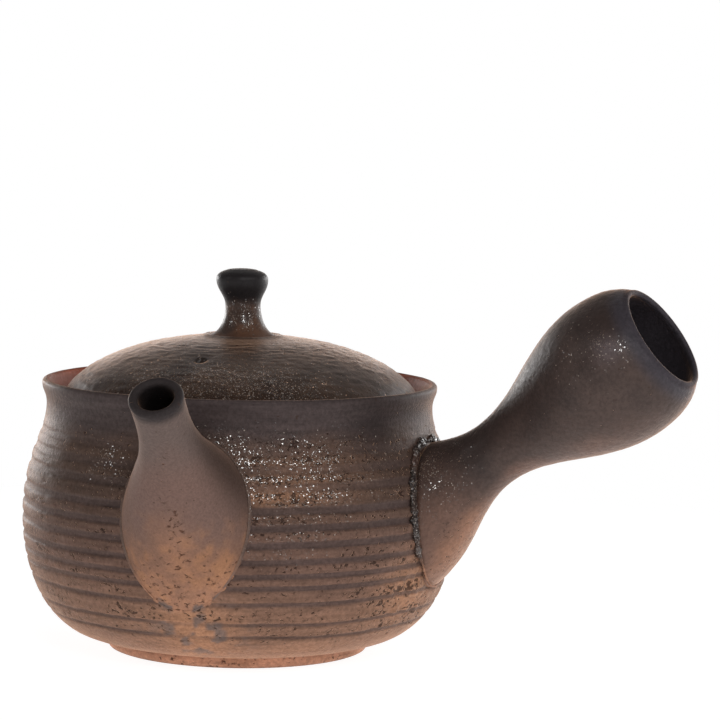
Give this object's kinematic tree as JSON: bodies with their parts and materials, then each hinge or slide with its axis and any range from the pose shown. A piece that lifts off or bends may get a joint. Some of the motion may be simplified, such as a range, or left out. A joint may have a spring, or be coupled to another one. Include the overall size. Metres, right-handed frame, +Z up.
{
  "type": "teapot",
  "caption": "Side-handled stoneware teapot: ridged round bowl on a foot ring, short rising spout, hollow trumpet handle, inner strainer and a domed lid with knob and vent.",
  "frame": {"origin": "centre of the foot ring's underside, on the pot's axis", "axes": "+Z up along the pot's axis, +X along the handle seen from above, the spout towards -Y"},
  "size_m": [0.1734, 0.1392, 0.096],
  "materials": {
    "dark_stoneware": "matte, rough, fired with flecks of melted ash",
    "rust_stoneware": "matte",
    "brown_stoneware": "matte, fine grain",
    "slip_bead": "satin, rough",
    "black_stoneware": "smooth, satin"
  },
  "bodies": {
    "pot": {"bowl": "dark_stoneware", "foot_ring": "rust_stoneware", "lid_gallery": "rust_stoneware", "strainer": "rust_stoneware", "spout": "brown_stoneware", "spout_seam": "slip_bead", "handle": "brown_stoneware", "handle_seam": "slip_bead"},
    "lid_ring": {"lid_flange": "rust_stoneware"},
    "lid": {"lid_dome": "dark_stoneware", "lid_knob": "black_stoneware"}
  },
  "joints": [
    {"name": "lid_lift", "type": "slide", "parent": "pot", "child": "lid_ring", "axis": [0, 0, 1], "range_m": [0, 0.06]},
    {"name": "lid_turn", "type": "hinge", "parent": "lid_ring", "child": "lid", "pos_m": [0, 0, 0.0628], "axis": [0, 0, 1], "continuous": true}
  ]
}
